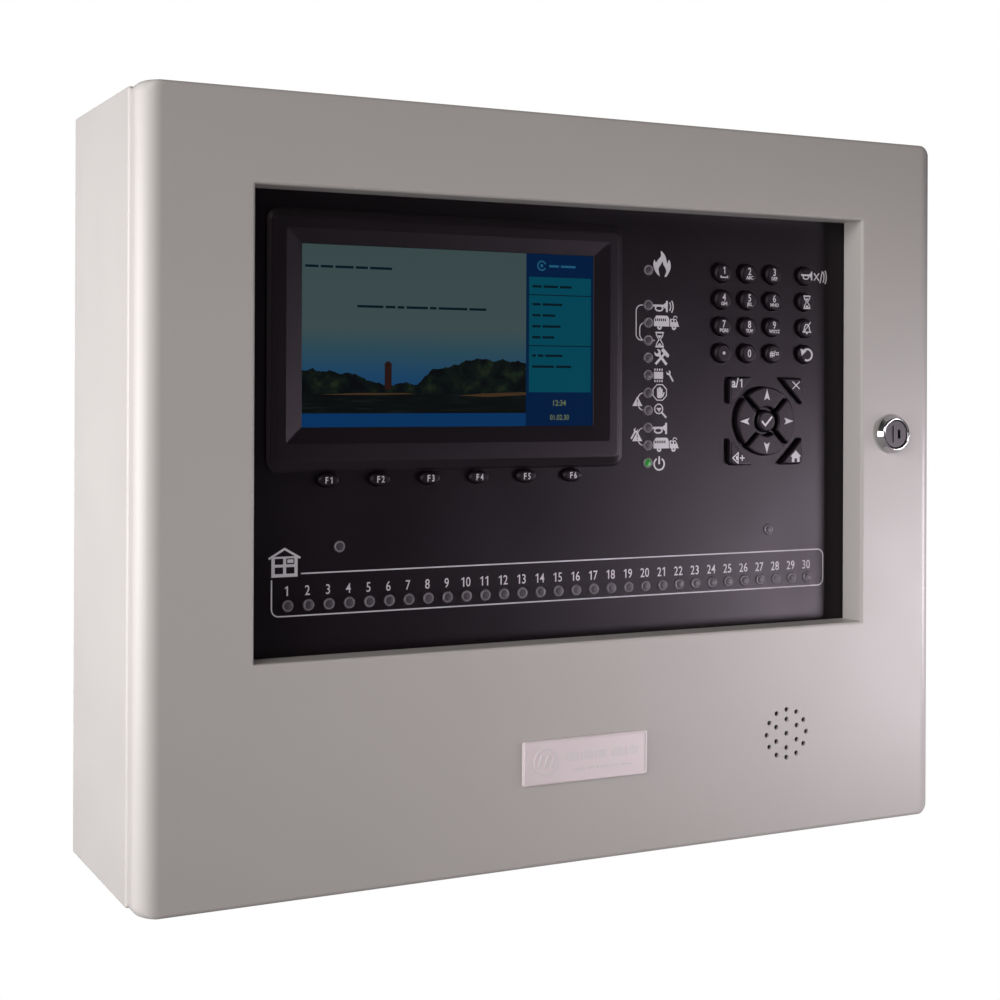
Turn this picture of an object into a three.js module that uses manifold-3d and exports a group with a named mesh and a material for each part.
// Fire alarm control panel: a wall-hung sheet-steel case with a hinged, locked door.
// The door carries the black operating fascia with its display, light pipes and push keys.
// Units are millimetres, +Z is up, +Y points into the wall, and the origin is the centre of the
// case's rear face. Door pieces are placed in a group whose own y = 0 is the door's front face.
import * as THREE from "three";
import { mergeVertices } from "three/addons/utils/BufferGeometryUtils.js";
import Module from "manifold-3d";

// Case and door
const SHEET = 1.5;
const GAP = 0.3;
const CASE_W = 435;
const CASE_H = 363;
const CASE_D = 110;
const CASE_LIP = 15;
const CASE_BEND = 3;
const DOOR_W = 436;
const DOOR_H = 364;
const DOOR_FRONT = -130;
const DOOR_D = 16;
const DOOR_SIDE_BEND = 10;
const DOOR_TOP_BEND = 2;
const WALL_SCREW = { x: 170, z: 150, radius: 3.25 };

// Window in the door, and the fascia behind it
const WINDOW = { x0: -166, x1: 168.6, z0: -74.6, z1: 139.1 };
const WINDOW_BEND = 1.5;
const FASCIA_DEPTH = 16.5;
const FASCIA_THICK = 1.5;
const FASCIA_MARGIN = 6;
const BEHIND_FASCIA = FASCIA_DEPTH + FASCIA_THICK + GAP;

// Display: visible glass, moulded frame round it, and the opening in the fascia
const GLASS = { x0: -139.3, x1: 13.2, z0: 30.4, z1: 114.9 };
const LCD = { x0: -145.5, x1: 19.5, z0: 22.7, z1: 122.7 };
const LCD_THICK = 4.8;
const FRAME_OUT = { x0: -155.7, x1: 30.4, z0: 9.8, z1: 131.1 };
const FRAME_RIDGE = { x0: -151.9, x1: 26.2, z0: 15.1, z1: 126.8 };
const FRAME_SLOPE = { x0: -147.3, x1: 21.5, z0: 22.9, z1: 121.9 };
const LCD_OPENING = { x0: -147, x1: 21, z0: 21.4, z1: 124.2 };
const FRAME_PROUD = 4;
const FRAME_SIDE = 2;

// Keys
const KEY_R = 5;
const KEY_PROUD = 3;
const KEY_COLLAR = 0.6;
const COLLAR_THICK = 1;
const KEY_EDGE = 0.7;
const KEY_CLEAR = 0.3;
const KEY_STEPS = 16;
const PAD = { x: [90, 105.8, 121.5], z: [109.4, 95.5, 81.6, 67.7] };
const ACTION_X = 142.4;
const F_KEYS = { x0: -126.2, pitch: 25.55, z: 6, rx: 5.2, rz: 3.2 };
const NAV = {
  x: 117,
  z: 32.2,
  okR: 5.8,
  inner: 7.6,
  outer: 18,
  gap: 2,
  half: 22.8,
  leg: 13.6,
  cornerRound: 2,
};

// Indicator lights
const LENS_R = 2.6;
const LENS_SIDES = 8;
const LENS_PROUD = 0.8;
const ZONES = { count: 30, x0: -145, pitch: 10, z: -51.3 };
const STATUS = { x: 46, z0: 109.3, pitch: 8.91, steps: [0, 2, 3, 4, 5, 6, 7, 8, 9, 10, 11] };
const RAIL_MARGIN = 3.5;
const SPARE_LENS = { x: 120, z: -25 };

// Door furniture
const GRILLE = { x: 120.7, z: -130, hole: 1.3, rings: [[0, 1], [7.4, 6], [12.4, 12]] };
const BADGE = { x0: -33.2, x1: 35.8, z0: -142.2, z1: -120.7, thick: 1 };
const LOCK = { x: 188.8, z: 25.2, flangeR: 10.5, rimR: 8.9, barrelR: 9.2, plugR: 7.3, proud: 4.3 };
const CAM = { depth: 22.5, thick: 2, half: 6.5, reach: 24 };

// Hinges: pins stand behind the door's left edge, clear of the case by the corner's swing
const HINGE = { x: -210, depth: 8, z: 120, pinR: 2, boreR: 2.3, knuckleR: 4, half: 8, ear: 2 };

const COLOURS = {
  paint: [0xd3cfcc, 0.5, 0.1],
  fascia: [0x1b171b, 0.45, 0],
  frame: [0x232027, 0.5, 0],
  key: [0x262229, 0.55, 0],
  glass: [0x30474a, 0.15, 0],
  lens: [0x777379, 0.3, 0],
  chrome: [0xd8d8d8, 0.15, 1],
  lockFace: [0x4a4a4a, 0.35, 1],
  zinc: [0xb9bcc0, 0.35, 1],
  badge: [0xc9bfc0, 0.35, 1],
  board: [0x1f5a35, 0.5, 0],
  terminal: [0x2f7a45, 0.5, 0],
  battery: [0x2c2d31, 0.6, 0],
  sounder: [0x1c1c1e, 0.5, 0],
};

const wasm = await Module();
wasm.setup();

// A closed geometry as a solid that can be joined and cut, faces turned outwards.
function solidOf(geometry) {
  const bare = geometry.clone();
  bare.deleteAttribute("normal");
  bare.deleteAttribute("uv");
  const merged = mergeVertices(bare, 1e-4);
  const triVerts = new Uint32Array(merged.index.array);
  const vertProperties = merged.attributes.position.array;
  const made = new wasm.Manifold(new wasm.Mesh({ numProp: 3, vertProperties, triVerts }));
  if (made.volume() > 0) return made;
  const turned = triVerts.map((v, i) => triVerts[i - (i % 3) + 2 - (i % 3)]);
  return new wasm.Manifold(new wasm.Mesh({ numProp: 3, vertProperties, triVerts: turned }));
}

function geometryOf(solid) {
  const mesh = solid.getMesh();
  const geometry = new THREE.BufferGeometry();
  geometry.setAttribute("position", new THREE.BufferAttribute(mesh.vertProperties, 3));
  geometry.setIndex(new THREE.BufferAttribute(mesh.triVerts, 1));
  geometry.computeVertexNormals();
  return geometry;
}

const join = (solids) => solids.reduce((a, b) => a.add(b));
const cut = (solid, tools) => (tools.length ? solid.subtract(join(tools)) : solid);

function block(x0, x1, y0, y1, z0, z1) {
  const box = new THREE.BoxGeometry(x1 - x0, y1 - y0, z1 - z0);
  return solidOf(box.translate((x0 + x1) / 2, (y0 + y1) / 2, (z0 + z1) / 2));
}

// A round bar along Y, from depth y0 to y1.
function bar(x, z, radius, y0, y1, sides = KEY_STEPS) {
  const rod = new THREE.CylinderGeometry(radius, radius, y1 - y0, sides);
  return solidOf(rod.translate(x, (y0 + y1) / 2, z));
}

// A round bar along Z.
function post(x, y, radius, z0, z1, sides = 12) {
  const rod = new THREE.CylinderGeometry(radius, radius, z1 - z0, sides).rotateX(Math.PI / 2);
  return solidOf(rod.translate(x, y, (z0 + z1) / 2));
}

// A turned piece on the Y axis from [radius, y] points.
function turned(points, sides = KEY_STEPS) {
  return solidOf(new THREE.LatheGeometry(points.map(([r, y]) => new THREE.Vector2(r, y)), sides));
}

// Outline of a rectangle with rounded corners, counter-clockwise in x and z.
function roundRect({ x0, x1, z0, z1 }, radius, steps = 4) {
  const corners = [
    [x1, z0, -1, 1, -90],
    [x1, z1, -1, -1, 0],
    [x0, z1, 1, -1, 90],
    [x0, z0, 1, 1, 180],
  ];
  return corners.flatMap(([x, z, sx, sz, from]) =>
    Array.from({ length: steps + 1 }, (_, i) => {
      const a = THREE.MathUtils.degToRad(from + (90 * i) / steps);
      const cx = x + sx * radius;
      const cz = z + sz * radius;
      return [cx + radius * Math.cos(a), cz + radius * Math.sin(a)];
    }),
  );
}

// Skin through matching outlines at rising depths: {points: [[x, z], ...], y}.
// A closed section joins the last outline to the first; otherwise both ends are capped.
function loft(levels, closed = false) {
  const n = levels[0].points.length;
  const positions = levels.flatMap(({ points, y }) => points.flatMap(([x, z]) => [x, y, z]));
  const index = [];
  const rows = closed ? levels.length : levels.length - 1;
  for (let k = 0; k < rows; k++) {
    const a = k * n;
    const b = ((k + 1) % levels.length) * n;
    for (let i = 0; i < n; i++) {
      const j = (i + 1) % n;
      index.push(a + i, b + i, b + j, a + i, b + j, a + j);
    }
  }
  if (!closed) {
    const last = (levels.length - 1) * n;
    const flat = (level) => level.points.map(([x, z]) => new THREE.Vector2(x, z));
    for (const [p, q, r] of THREE.ShapeUtils.triangulateShape(flat(levels[0]), [])) index.push(p, q, r);
    for (const [p, q, r] of THREE.ShapeUtils.triangulateShape(flat(levels.at(-1)), []))
      index.push(last + r, last + q, last + p);
  }
  const geometry = new THREE.BufferGeometry();
  geometry.setAttribute("position", new THREE.Float32BufferAttribute(positions, 3));
  geometry.setIndex(index);
  return solidOf(geometry);
}

const slab = (points, y0, y1) => loft([{ points, y: y0 }, { points, y: y1 }]);
const grown = (r, by) => ({ x0: r.x0 - by, x1: r.x1 + by, z0: r.z0 - by, z1: r.z1 + by });

function piece(name, solid, colour, at = [0, 0, 0]) {
  const [color, roughness, metalness] = COLOURS[colour];
  const material = new THREE.MeshStandardMaterial({ color, roughness, metalness });
  const mesh = new THREE.Mesh(geometryOf(solid), material);
  mesh.name = name;
  mesh.position.set(...at);
  return mesh;
}

// A folded tray: depth 0 is its closed face, and the folds at its sides and ends are rounded.
// The solid is common to one profile drawn from above and one drawn from the side.
function trayBlock(width, height, depth, inset, sideBend, endBend, rearBend) {
  const across = (half, bend) => {
    const shape = new THREE.Shape();
    const rear = depth + (inset && !rearBend ? 1 : -inset);
    const back = Math.max(rearBend - inset, 0);
    const front = Math.max(bend - inset, 0);
    shape.moveTo(-half + inset + front, inset);
    shape.lineTo(half - inset - front, inset);
    if (front) shape.absarc(half - inset - front, inset + front, front, -Math.PI / 2, 0);
    shape.lineTo(half - inset, rear - back);
    if (back) shape.absarc(half - inset - back, rear - back, back, 0, Math.PI / 2);
    shape.lineTo(-half + inset + back, rear);
    if (back) shape.absarc(-half + inset + back, rear - back, back, Math.PI / 2, Math.PI);
    shape.lineTo(-half + inset, inset + front);
    if (front) shape.absarc(-half + inset + front, inset + front, front, Math.PI, 1.5 * Math.PI);
    return shape;
  };
  const wide = width + height;
  const steps = sideBend > 5 ? 4 : 2;
  const plan = { depth: wide, bevelEnabled: false, curveSegments: steps };
  const above = new THREE.ExtrudeGeometry(across(width / 2, sideBend), plan);
  const side = new THREE.ExtrudeGeometry(across(height / 2, endBend), { ...plan, curveSegments: 2 });
  above.translate(0, 0, -wide / 2);
  side.translate(0, 0, -wide / 2).rotateY(Math.PI / 2);
  return solidOf(above).intersect(solidOf(side));
}

function backBox() {
  const outer = trayBlock(CASE_W, CASE_H, CASE_D, 0, CASE_BEND, CASE_BEND, CASE_BEND);
  const inner = trayBlock(CASE_W, CASE_H, CASE_D, SHEET, CASE_BEND, CASE_BEND, CASE_BEND);
  const mouthX = CASE_W / 2 - CASE_LIP;
  const mouthZ = CASE_H / 2 - CASE_LIP;
  const mouth = block(-mouthX, mouthX, -1, SHEET + 1, -mouthZ, mouthZ);
  const holes = [-1, 1].flatMap((sx) =>
    [-1, 1].map((sz) =>
      bar(sx * WALL_SCREW.x, sz * WALL_SCREW.z, WALL_SCREW.radius, CASE_D - 3, CASE_D + 1),
    ),
  );
  return piece("back_box", cut(outer, [inner, mouth, ...holes]), "paint", [0, -CASE_D, 0]);
}

// The window's edge is folded inwards over a small radius, all round.
function windowFold() {
  const r = WINDOW_BEND;
  const arc = (radius, a) => {
    const by = r - radius * Math.cos(a);
    return { points: roundRect(grown(WINDOW, by), 0.5, 2), y: r - radius * Math.sin(a) };
  };
  const wall = (by, y) => ({ points: roundRect(grown(WINDOW, by), 0.5, 2), y });
  const bend = [0, 30, 60, 90].map((d) => THREE.MathUtils.degToRad(d));
  const inside = bend.map((a) => arc(r, a));
  const outside = bend.toReversed().map((a) => arc(r - SHEET, a));
  return loft(
    [wall(0, DOOR_D), ...inside, wall(r + 2, 0), wall(r + 2, SHEET), ...outside, wall(SHEET, DOOR_D)],
    true,
  );
}

function grilleHoles() {
  return GRILLE.rings.flatMap(([ring, count]) =>
    Array.from({ length: count }, (_, i) => {
      const a = (2 * Math.PI * i) / count;
      const x = GRILLE.x + ring * Math.sin(a);
      const z = GRILLE.z + ring * Math.cos(a);
      return bar(x, z, GRILLE.hole, -1, SHEET + 1, LENS_SIDES);
    }),
  );
}

function door() {
  const outer = trayBlock(DOOR_W, DOOR_H, DOOR_D, 0, DOOR_SIDE_BEND, DOOR_TOP_BEND, 0);
  const inner = trayBlock(DOOR_W, DOOR_H, DOOR_D, SHEET, DOOR_SIDE_BEND, DOOR_TOP_BEND, 0);
  const window = slab(roundRect(grown(WINDOW, WINDOW_BEND), 0.5, 2), -1, SHEET + 1);
  const lockHole = bar(LOCK.x, LOCK.z, LOCK.barrelR + GAP, -1, SHEET + 1);
  const panel = cut(outer, [inner, window, lockHole, ...grilleHoles()]);
  return piece("door", panel.add(windowFold()), "paint");
}

// Outline of one arrow key: a quarter of a ring with parallel-sided gaps, turned by quarters.
function sector(by, quarter) {
  const inner = NAV.inner - by;
  const outer = NAV.outer + by;
  const half = NAV.gap / 2 - by;
  const turn = (quarter * Math.PI) / 2;
  const arc = (radius, from, to, count) =>
    Array.from({ length: count + 1 }, (_, i) => {
      const a = from + ((to - from) * i) / count + turn;
      return [radius * Math.cos(a), radius * Math.sin(a)];
    });
  const reachOut = Math.PI / 4 - Math.asin(half / outer);
  const reachIn = Math.PI / 4 - Math.asin(half / inner);
  return [...arc(outer, -reachOut, reachOut, 8), ...arc(inner, reachIn, -reachIn, 5)];
}

// Outline of one corner key: a right-angled triangle with its square corner outwards, slightly
// rounded. Growing it by a margin moves its long side out by the same margin.
function cornerKey(by, sx, sz) {
  const { half, leg, cornerRound } = NAV;
  const outer = half + by;
  const near = half - leg - by * (1 + Math.SQRT2);
  const corner = [
    [near, outer],
    [outer, near],
    [outer, outer - cornerRound],
    [outer - 0.3 * cornerRound, outer - 0.3 * cornerRound],
    [outer - cornerRound, outer],
  ];
  const placed = corner.map(([x, z]) => [sx * x, sz * z]);
  return sx * sz > 0 ? placed : placed.reverse();
}

function ellipse(rx, rz) {
  return Array.from({ length: KEY_STEPS }, (_, i) => {
    const a = (2 * Math.PI * i) / KEY_STEPS;
    return [rx * Math.cos(a), rz * Math.sin(a)];
  });
}

// A key's cap stands out of the fascia, and its collar behind the fascia keeps it in.
// Local depth 0 is the fascia's front face.
function key(name, outline, [x, z]) {
  const collar = FASCIA_THICK + GAP;
  const solid = loft([
    { points: outline(-KEY_EDGE), y: -KEY_PROUD },
    { points: outline(0), y: KEY_EDGE - KEY_PROUD },
    { points: outline(0), y: collar },
    { points: outline(KEY_COLLAR), y: collar },
    { points: outline(KEY_COLLAR), y: collar + COLLAR_THICK },
  ]);
  const mesh = piece(name, solid, "key", [x, FASCIA_DEPTH, z]);
  mesh.userData.opening = outline(KEY_CLEAR).map(([u, v]) => [x + u, z + v]);
  return mesh;
}

function keys() {
  const round = (by) => ellipse(KEY_R + by, KEY_R + by);
  const oval = (by) => ellipse(F_KEYS.rx + by, F_KEYS.rz + by);
  const ok = (by) => ellipse(NAV.okR + by, NAV.okR + by);
  const digits = ["1", "2", "3", "4", "5", "6", "7", "8", "9", "star", "0", "hash"];
  const actions = ["silence", "delay", "mute", "reset"];
  const arrows = ["right", "up", "left", "down"];
  const corners = [["mode", -1, 1], ["cancel", 1, 1], ["volume", -1, -1], ["home", 1, -1]];
  const nav = [NAV.x, NAV.z];
  return [
    ...[1, 2, 3, 4, 5, 6].map((n) =>
      key(`key_f${n}`, oval, [F_KEYS.x0 + (n - 1) * F_KEYS.pitch, F_KEYS.z]),
    ),
    ...digits.map((d, i) => key(`key_${d}`, round, [PAD.x[i % 3], PAD.z[Math.floor(i / 3)]])),
    ...actions.map((a, i) => key(`key_${a}`, round, [ACTION_X, PAD.z[i]])),
    key("key_ok", ok, nav),
    ...arrows.map((a, i) => key(`key_${a}`, (by) => sector(by, i), nav)),
    ...corners.map(([c, sx, sz]) => key(`key_${c}`, (by) => cornerKey(by, sx, sz), nav)),
  ];
}

const zonePlaces = Array.from({ length: ZONES.count }, (_, i) => [ZONES.x0 + i * ZONES.pitch, ZONES.z]);
const statusPlaces = STATUS.steps.map((k) => [STATUS.x, STATUS.z0 - k * STATUS.pitch]);
const lensPlaces = [
  ...zonePlaces,
  ...statusPlaces,
  [-SPARE_LENS.x, SPARE_LENS.z],
  [SPARE_LENS.x, SPARE_LENS.z],
];

function fascia(keyOpenings) {
  const plate = slab(roundRect(grown(WINDOW, FASCIA_MARGIN), 3, 2), 0, FASCIA_THICK);
  const through = (points) => slab(points, -1, FASCIA_THICK + 1);
  const lensHoles = lensPlaces.map(([x, z]) =>
    bar(x, z, LENS_R + KEY_CLEAR, -1, FASCIA_THICK + 1, LENS_SIDES),
  );
  const openings = [roundRect(LCD_OPENING, 1, 2), ...keyOpenings].map(through);
  return piece("fascia_plate", cut(plate, [...openings, ...lensHoles]), "fascia", [0, FASCIA_DEPTH, 0]);
}

function displayFrame() {
  const base = FASCIA_DEPTH - GAP;
  const land = FASCIA_DEPTH - FRAME_PROUD;
  const lip = FASCIA_DEPTH - FRAME_SIDE;
  const level = (rect, radius, y) => ({ points: roundRect(rect, radius), y });
  const levels = [
    level(FRAME_OUT, 6, base),
    level(FRAME_OUT, 6, lip),
    level(FRAME_RIDGE, 2.5, land),
    level(FRAME_SLOPE, 0.8, land),
    level(GLASS, 0.4, lip),
    level(GLASS, 0.4, lip + 0.6),
    level(LCD_OPENING, 1, lip + 0.6),
    level(LCD_OPENING, 1, base),
  ];
  return piece("display_frame", loft(levels, true), "frame");
}

function lcdPanel() {
  const front = FASCIA_DEPTH - FRAME_SIDE + 0.9;
  return piece("lcd_panel", slab(roundRect(LCD, 1, 2), front, front + LCD_THICK), "glass");
}

// Moulded clear light pipes: stubs on a rail behind the fascia, each ending in a flat lens.
function lightPipes(name, places) {
  const [first, last] = [places[0], places.at(-1)];
  const rail = grown({ x0: first[0], x1: last[0], z0: last[1], z1: first[1] }, RAIL_MARGIN);
  const stubs = places.map(([x, z]) =>
    bar(x, z, LENS_R, FASCIA_DEPTH - LENS_PROUD, BEHIND_FASCIA + 0.5, LENS_SIDES),
  );
  const back = block(rail.x0, rail.x1, BEHIND_FASCIA, BEHIND_FASCIA + 1.5, rail.z0, rail.z1);
  return piece(name, join([back, ...stubs]), "lens");
}

function spareLens(name, x) {
  const stub = bar(x, SPARE_LENS.z, LENS_R, FASCIA_DEPTH - LENS_PROUD, BEHIND_FASCIA + 0.5, LENS_SIDES);
  const collar = bar(x, SPARE_LENS.z, LENS_R + 1.4, BEHIND_FASCIA, BEHIND_FASCIA + 1.5, LENS_SIDES);
  return piece(name, stub.add(collar), "lens");
}

// Keyboard and lamp board behind the fascia, with its chips and sockets on the rear.
function keypadBoard() {
  const front = BEHIND_FASCIA + COLLAR_THICK + 1.5;
  const back = front + 1.6;
  const board = block(-160, 160, front, back, -68, 134);
  const chip = (x, z, w, h, t) => block(x - w / 2, x + w / 2, back - 0.2, back + t, z - h / 2, z + h / 2);
  const parts = [
    chip(-60, 72, 110, 62, 2.4),
    chip(60, 96, 22, 22, 1.8),
    chip(60, 60, 16, 10, 1.8),
    chip(110, 20, 40, 9, 6),
    chip(-110, -10, 30, 9, 6),
    chip(0, -40, 18, 18, 1.8),
    chip(120, -30, 12, 12, 5),
  ];
  return piece("keypad_board", join([board, ...parts]), "board");
}

function badge() {
  const edge = roundRect(BADGE, 1.2, 3);
  const top = roundRect(grown(BADGE, -0.4), 0.8, 3);
  const levels = [
    { points: top, y: -GAP - BADGE.thick },
    { points: edge, y: -GAP - BADGE.thick + 0.4 },
    { points: edge, y: -GAP },
  ];
  return piece("badge_plate", loft(levels), "badge");
}

function sounder() {
  const front = SHEET + GAP;
  const can = turned([[0, front], [18, front], [20, front + 1.5], [20, front + 10], [0, front + 10]], 24);
  const ears = block(-26, 26, front, front + 2, -5, 5);
  const posts = [-3.5, 3.5].map((x) => bar(x, 0, 1, front + 9, front + 14, LENS_SIDES));
  return piece("sounder", join([can, ears, ...posts]), "sounder", [GRILLE.x, 0, GRILLE.z]);
}

// Round cam lock: a chromed body with a conical rim, a nut, and a plug with its cam.
function lockBody() {
  const bore = LOCK.plugR + GAP;
  const rear = CAM.depth - 2;
  const profile = [
    [bore, -LOCK.proud],
    [LOCK.rimR - 0.5, -LOCK.proud],
    [LOCK.rimR, 0.5 - LOCK.proud],
    [LOCK.flangeR, -1],
    [LOCK.flangeR, -GAP],
    [LOCK.barrelR, -GAP],
    [LOCK.barrelR, rear],
    [bore, rear],
    [bore, -LOCK.proud],
  ];
  return piece("lock_body", turned(profile, 24), "chrome", [LOCK.x, 0, LOCK.z]);
}

function lockNut() {
  const front = SHEET + GAP;
  const hexagon = bar(0, 0, 13.3, front, front + 4, 6);
  const thread = bar(0, 0, LOCK.barrelR + GAP, front - 1, front + 5, 24);
  return piece("lock_nut", hexagon.subtract(thread), "zinc", [LOCK.x, 0, LOCK.z]);
}

function lockPlug() {
  const face = 0.8 - LOCK.proud;
  const barrel = bar(0, 0, LOCK.plugR, face, CAM.depth - 2.8, 24);
  const stub = bar(0, 0, 4, CAM.depth - 3, CAM.depth - GAP, 12);
  const keyway = block(-0.8, 0.8, face - 1, face + 9, -4.6, 4.6);
  return piece("lock_plug", barrel.add(stub).subtract(keyway), "lockFace", [LOCK.x, 0, LOCK.z]);
}

// The cam hangs down when unlocked; a quarter turn swings it behind the case's lip.
function lockCam() {
  const far = CAM.depth + CAM.thick;
  const arm = block(-CAM.half, CAM.half, CAM.depth, far, -CAM.reach, 0);
  const boss = bar(0, 0, CAM.half, CAM.depth, far, KEY_STEPS);
  const bolt = bar(0, 0, 3.6, far - 0.2, far + 2.2, 6);
  return piece("lock_cam", join([arm, boss, bolt]), "zinc", [LOCK.x, 0, LOCK.z]);
}

// Door side of a hinge: a flange on the door panel with two ears that hold the pin.
function hingeBracket(name, z) {
  const { half, ear } = HINGE;
  const top = half + 0.4 + ear;
  const flange = block(-208.5, -186, SHEET + GAP, SHEET + GAP + 2, -top, top);
  const ears = [-top, top - ear].map((low) =>
    block(-208, -202, SHEET + GAP, HINGE.depth + 1, low, low + ear).add(
      post(HINGE.x, HINGE.depth, 3.6, low, low + ear),
    ),
  );
  const hole = post(HINGE.x, HINGE.depth, HINGE.boreR, -top - 1, top + 1);
  return piece(name, join([flange, ...ears]).subtract(hole), "zinc", [0, 0, z]);
}

function hingePin(name, z) {
  const top = HINGE.half + 0.4 + HINGE.ear;
  const shank = post(HINGE.x, HINGE.depth, HINGE.pinR, -top - 1.5, top + 1);
  const head = post(HINGE.x, HINGE.depth, 3.2, top + GAP, top + GAP + 1.5);
  return piece(name, shank.add(head), "zinc", [0, 0, z]);
}

// Case side of a hinge: a cranked arm from behind the case's lip out to the knuckle on the pin.
function hingeArm(name, z) {
  const { half, x } = HINGE;
  const pinY = DOOR_FRONT + HINGE.depth;
  const lipBack = -CASE_D + SHEET + GAP;
  const legX = x + 12.5;
  const web = block(x, legX + 2.2, pinY - 1.25, pinY + 1.25, -half, half);
  const leg = block(legX, legX + 2.2, pinY, lipBack + 2, -half, half);
  const foot = block(-CASE_W / 2 + 5, legX + 2.2, lipBack, lipBack + 2, -half, half);
  const knuckle = post(x, pinY, HINGE.knuckleR, -half, half);
  const bore = post(x, pinY, HINGE.boreR, -half - 1, half + 1);
  return piece(name, join([web, leg, foot, knuckle]).subtract(bore), "zinc", [0, 0, z]);
}

// Control board on pillars, with its processor, relays, sockets and supply capacitors.
function mainBoard() {
  const rear = -SHEET - GAP;
  const face = -13.6;
  const board = block(-195, 45, face, face + 1.6, 5, 150);
  const pillars = [-189, 39].flatMap((x) => [11, 144].map((z) => bar(x, z, 3, face + 1, rear, 6)));
  const part = (x, z, w, h, t) => block(x - w / 2, x + w / 2, face - t, face + 0.2, z - h / 2, z + h / 2);
  const relays = [0, 1, 2, 3, 4].map((i) => part(-172 + i * 22, 42, 16, 20, 15));
  const chips = [part(-90, 105, 28, 28, 2.2), part(-140, 105, 20, 12, 2.2), part(-40, 112, 14, 10, 2)];
  const sockets = [part(0, 140, 40, 9, 9), part(-120, 140, 52, 9, 9)];
  const cans = [[10, 100], [26, 100], [10, 80]].map(([x, z]) => bar(x, z, 6, face - 20, face + 0.2, 12));
  return piece("main_board", join([board, ...pillars, ...relays, ...chips, ...sockets, ...cans]), "board");
}

// A row of screw terminals with a wire mouth and a screw well over each way.
function terminalStrip() {
  const ways = 28;
  const pitch = 7.62;
  const front = -13.6 - GAP;
  const x0 = -185;
  const strip = block(x0, x0 + ways * pitch, front - 15, front, 8, 24);
  const mouths = Array.from({ length: ways }, (_, i) =>
    block(x0 + i * pitch + 1.2, x0 + (i + 1) * pitch - 1.2, front - 9, front - 3, 7, 12),
  );
  return piece("terminal_strip", cut(strip, mouths), "terminal");
}

// Enclosed mains supply: a vented steel cover on a base, with a terminal row at its foot.
function powerSupply() {
  const rear = -SHEET - GAP;
  const cover = block(70, 185, -42, rear, 20, 165);
  const shelf = block(70, 185, -43, -18, 19, 34);
  const row = block(78, 177, -32, -17, 21, 33);
  const slots = Array.from({ length: 9 }, (_, i) =>
    block(85, 170, -43, -39, 48 + i * 12, 52 + i * 12),
  );
  return piece("power_supply", cut(cover, [shelf, ...slots]).add(row), "zinc");
}

function battery(name, x) {
  const shell = block(-75.5, 75.5, -68, -SHEET - 1.5, -180, -86);
  const lid = block(-74, 74, -66.5, -4.5, -86.5, -84);
  const tabs = [-62, 62].map((at) => block(at - 3, at + 3, -59, -58, -84.5, -77.5));
  return piece(name, join([shell, lid, ...tabs]), "battery", [x, 0, 0]);
}

function batteryBracket() {
  const rear = -SHEET - GAP;
  const band = block(-170, 170, -71, -69, -142, -122);
  const legs = [-170, 168].map((x) => block(x, x + 2, -71, rear, -142, -122));
  const feet = [[-182, -168], [168, 182]].map(([a, b]) => block(a, b, rear - 2, rear, -142, -122));
  return piece("battery_bracket", join([band, ...legs, ...feet]), "zinc");
}

function mainsTerminals() {
  const rear = -SHEET - GAP;
  const base = block(70, 130, -14, rear, -40, -14);
  const walls = [70, 84, 98, 112, 128].map((x) => block(x, x + 2, -24, -13, -40, -14));
  const fuse = block(140, 160, -26, rear, -40, -10);
  const link = block(129, 141, -6, rear, -38, -16);
  return piece("mains_terminal_block", join([base, ...walls, fuse, link]), "sounder");
}

const caseGroup = new THREE.Group();
caseGroup.add(
  backBox(),
  hingeArm("upper_hinge_arm", HINGE.z),
  hingeArm("lower_hinge_arm", -HINGE.z),
  mainBoard(),
  terminalStrip(),
  powerSupply(),
  battery("battery_left", -79),
  battery("battery_right", 79),
  batteryBracket(),
  mainsTerminals(),
);

const keySet = keys();
const doorGroup = new THREE.Group();
doorGroup.position.y = DOOR_FRONT;
doorGroup.add(
  door(),
  fascia(keySet.map((mesh) => mesh.userData.opening)),
  displayFrame(),
  lcdPanel(),
  lightPipes("zone_light_pipes", zonePlaces),
  lightPipes("status_light_pipes", statusPlaces),
  spareLens("left_lens", -SPARE_LENS.x),
  spareLens("right_lens", SPARE_LENS.x),
  keypadBoard(),
  badge(),
  sounder(),
  lockBody(),
  lockNut(),
  lockPlug(),
  lockCam(),
  hingeBracket("upper_hinge_bracket", HINGE.z),
  hingeBracket("lower_hinge_bracket", -HINGE.z),
  hingePin("upper_hinge_pin", HINGE.z),
  hingePin("lower_hinge_pin", -HINGE.z),
  ...keySet,
);

const panel = new THREE.Group();
panel.add(caseGroup, doorGroup);
export default panel;
